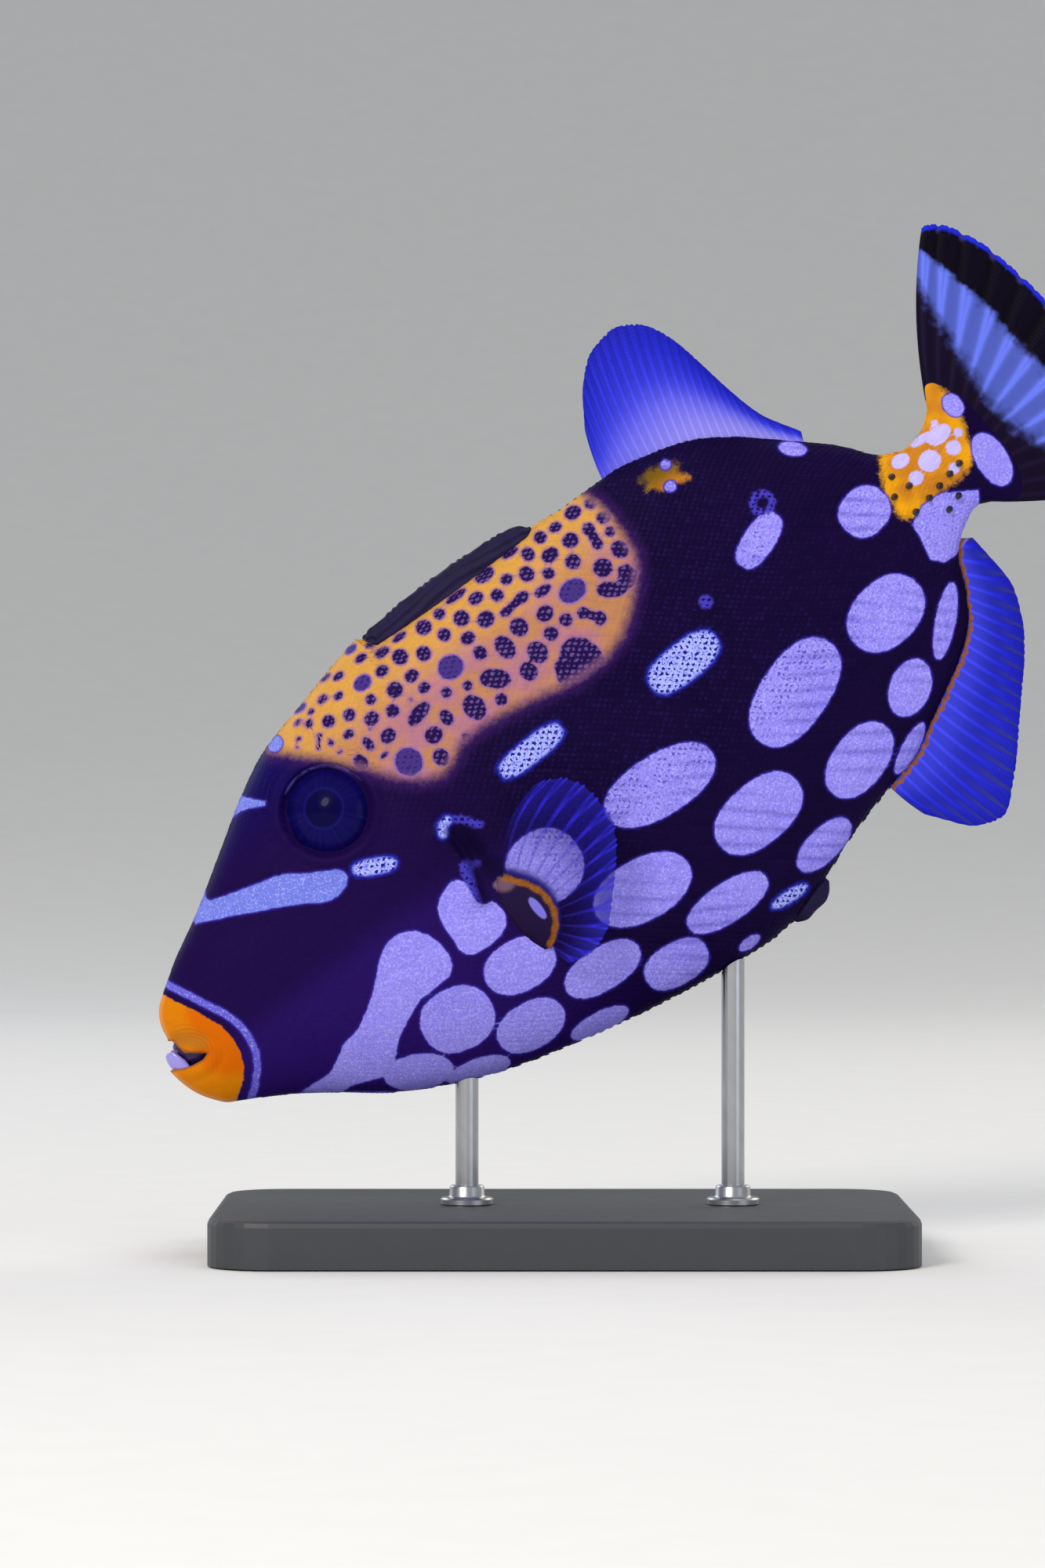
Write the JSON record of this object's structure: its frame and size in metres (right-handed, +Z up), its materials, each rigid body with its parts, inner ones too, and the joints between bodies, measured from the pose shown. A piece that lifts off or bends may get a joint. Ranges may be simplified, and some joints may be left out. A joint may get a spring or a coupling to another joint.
{
  "type": "clown triggerfish",
  "caption": "Still, life-size model of a clown triggerfish, swimming nose down, held over a flat base on short rods.",
  "frame": {"origin": "centre of the underside of the stand's base", "axes": "+Z up; the fish swims towards -X and down, with its left side towards -Y"},
  "size_m": [0.2689, 0.12, 0.2669],
  "materials": {
    "dark_skin": "satin",
    "yellow_skin": "satin",
    "orange_lips": "satin",
    "tooth_enamel": "gloss",
    "eye": "gloss",
    "dark_spine": "satin",
    "pale_fin": "satin",
    "dark_fin": "satin",
    "stand_paint": "satin",
    "stand_steel": "brushed"
  },
  "bodies": {
    "root": {"head": "dark_skin", "torso": "dark_skin", "rear_body": "dark_skin", "tail_base": "yellow_skin", "lips": "orange_lips", "teeth_lower": "tooth_enamel", "teeth_upper": "tooth_enamel", "eye_left": "eye", "eye_right": "eye", "dorsal_spine_fin": "dark_spine", "pelvic_spine": "dark_spine", "soft_dorsal_fin": "pale_fin", "anal_fin": "dark_fin", "caudal_fin": "dark_fin", "pectoral_fin_left": "dark_fin", "pectoral_fin_right": "dark_fin", "stand_base": "stand_paint", "stand_rod_front": "stand_steel", "stand_rod_rear": "stand_steel"}
  },
  "joints": []
}
